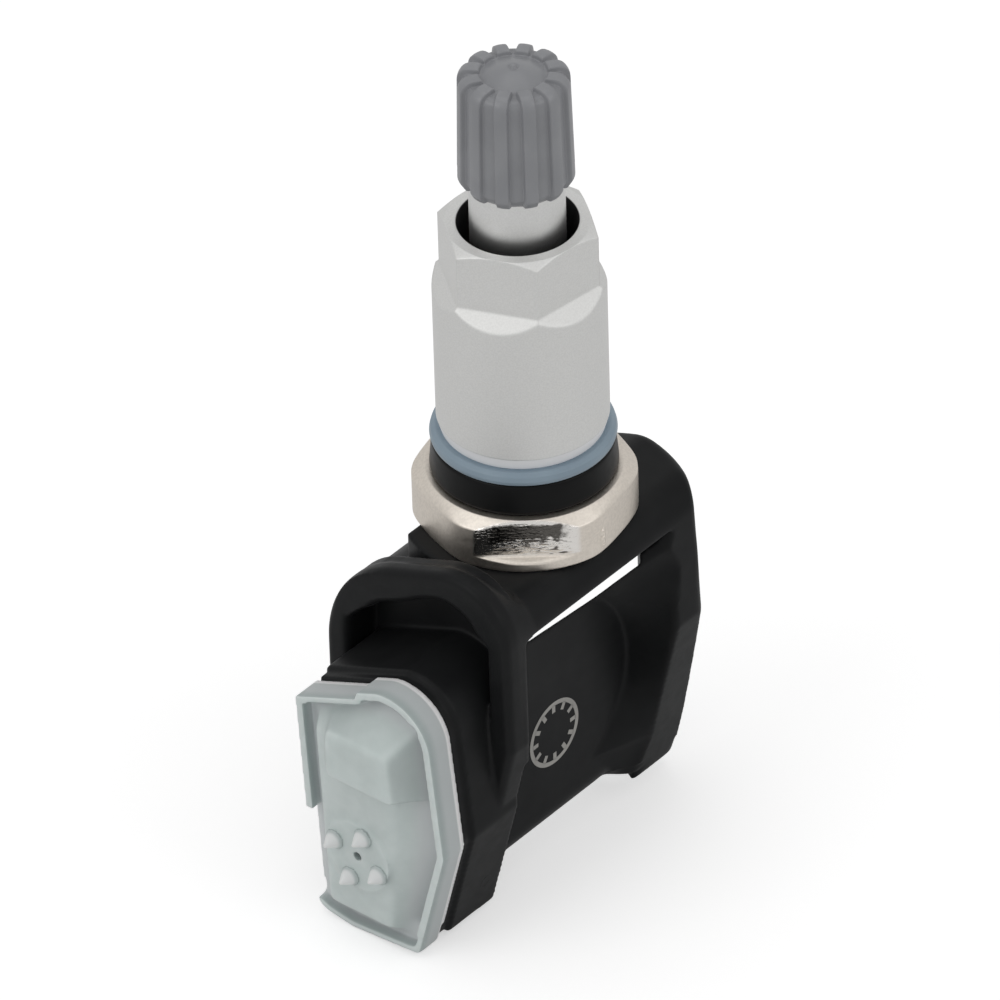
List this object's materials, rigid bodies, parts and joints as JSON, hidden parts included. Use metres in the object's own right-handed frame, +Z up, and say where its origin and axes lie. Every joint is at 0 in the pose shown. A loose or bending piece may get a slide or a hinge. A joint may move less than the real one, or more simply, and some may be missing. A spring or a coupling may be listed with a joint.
{
  "type": "tyre pressure sensor",
  "caption": "Wheel-mounted tyre pressure sensor: black moulded body with a clear end cover, hung from a clamp-in metal valve with sleeve nut, grommet and screw-on cap.",
  "frame": {"origin": "on the valve's axis, in the plane where the grommet seals against the inside of the wheel rim", "axes": "+Z up the valve towards its cap, -X towards the clear cover, -Y towards the open pocket"},
  "size_m": [0.0383, 0.02, 0.0773],
  "materials": {
    "housing_plastic": "fine matt moulding",
    "clear_cover": "milky translucent moulding",
    "board": "green solder mask",
    "chip": "moulded package",
    "seal_rubber": "soft tube",
    "ferrite": "sintered",
    "copper": "enamelled wire",
    "can_steel": "bright can",
    "chip_parts": "ceramic chips",
    "strip_brass": "bent strip",
    "cell_steel": "drawn can",
    "tab_steel": "spot-welded strip",
    "potting": "cast resin",
    "screw_steel": "zinc plated",
    "stem_aluminium": "satin anodised",
    "collar_nickel": "bright nickel plate",
    "grommet_rubber": "smooth black rubber",
    "washer_plastic": "slate-blue moulding",
    "nut_aluminium": "satin anodised",
    "core_brass": "turned",
    "core_rubber": "moulded disc",
    "spring_steel": "drawn wire",
    "cap_plastic": "grey moulding"
  },
  "bodies": {
    "sensor": {"sensor_housing": "housing_plastic", "port_cover": "clear_cover", "circuit_board": "board", "pressure_chip": "chip", "port_seal": "seal_rubber", "wake_coil": "ferrite", "coil_winding": "copper", "crystal_can": "can_steel", "small_parts": "chip_parts", "antenna_strip": "strip_brass", "battery_cell": "cell_steel", "battery_tab_front": "tab_steel", "battery_tab_back": "tab_steel", "potting_compound": "potting", "lock_washer": "screw_steel", "clamp_screw": "screw_steel", "valve_stem": "stem_aluminium", "valve_collar": "collar_nickel", "rubber_grommet": "grommet_rubber", "core_body": "core_brass", "barrel_seal": "core_rubber", "core_spring": "spring_steel"},
    "washer": {"thrust_washer": "washer_plastic"},
    "nut": {"sleeve_nut": "nut_aluminium"},
    "gasket": {"cap_gasket": "core_rubber"},
    "cap": {"valve_cap": "cap_plastic"},
    "pin": {"core_pin": "core_brass", "core_seal": "core_rubber"}
  },
  "joints": [
    {"name": "washer_rise", "type": "slide", "parent": "sensor", "child": "washer", "axis": [0, 0, 1], "range_m": [0, 0.004]},
    {"name": "nut_turn", "type": "hinge", "parent": "washer", "child": "nut", "pos_m": [0, 0, 0], "axis": [0, 0, 1], "range_deg": [0, 1445]},
    {"name": "gasket_rise", "type": "slide", "parent": "sensor", "child": "gasket", "axis": [0, 0, 1], "range_m": [0, 0.00794]},
    {"name": "cap_turn", "type": "hinge", "parent": "gasket", "child": "cap", "pos_m": [0, 0, 0.03], "axis": [0, 0, 1], "range_deg": [0, 3605]},
    {"name": "pin_press", "type": "slide", "parent": "sensor", "child": "pin", "axis": [0, 0, -1], "range_m": [0, 0.0012], "stiffness_N_per_m": 1500, "springref_m": -0.001, "deforming": ["core_spring"]}
  ],
  "couplings": [
    {"joint": "nut_turn", "follows": "washer_rise", "rad_per_m": 6283.2},
    {"joint": "cap_turn", "follows": "gasket_rise", "rad_per_m": 7913.3}
  ]
}
